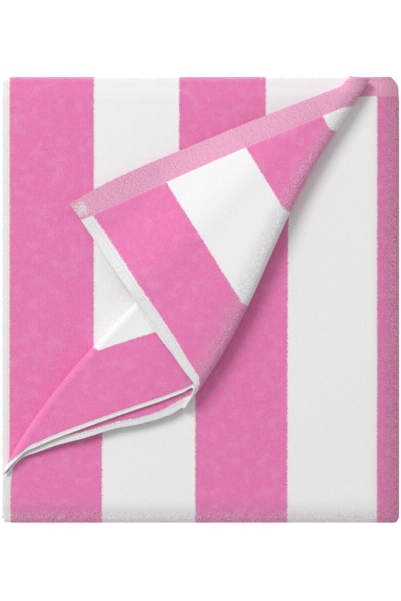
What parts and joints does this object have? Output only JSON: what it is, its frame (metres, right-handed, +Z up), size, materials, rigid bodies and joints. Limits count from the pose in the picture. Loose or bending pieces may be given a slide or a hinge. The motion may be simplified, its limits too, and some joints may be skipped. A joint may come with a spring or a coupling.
{
  "type": "folded beach towel",
  "caption": "Striped terry beach towel folded in half and in thirds, with its upper corner pleated back over the stack.",
  "frame": {"origin": "middle of the stack's footprint, on the surface it lies on", "axes": "+X towards the lengthwise fold, +Y towards the edge where the end hem and one cross fold lie, +Z up"},
  "size_m": [0.446, 0.502, 0.0469],
  "materials": {
    "towel_terry": "matt cut pile"
  },
  "bodies": {
    "root": {"beach_towel": "towel_terry"}
  },
  "joints": []
}
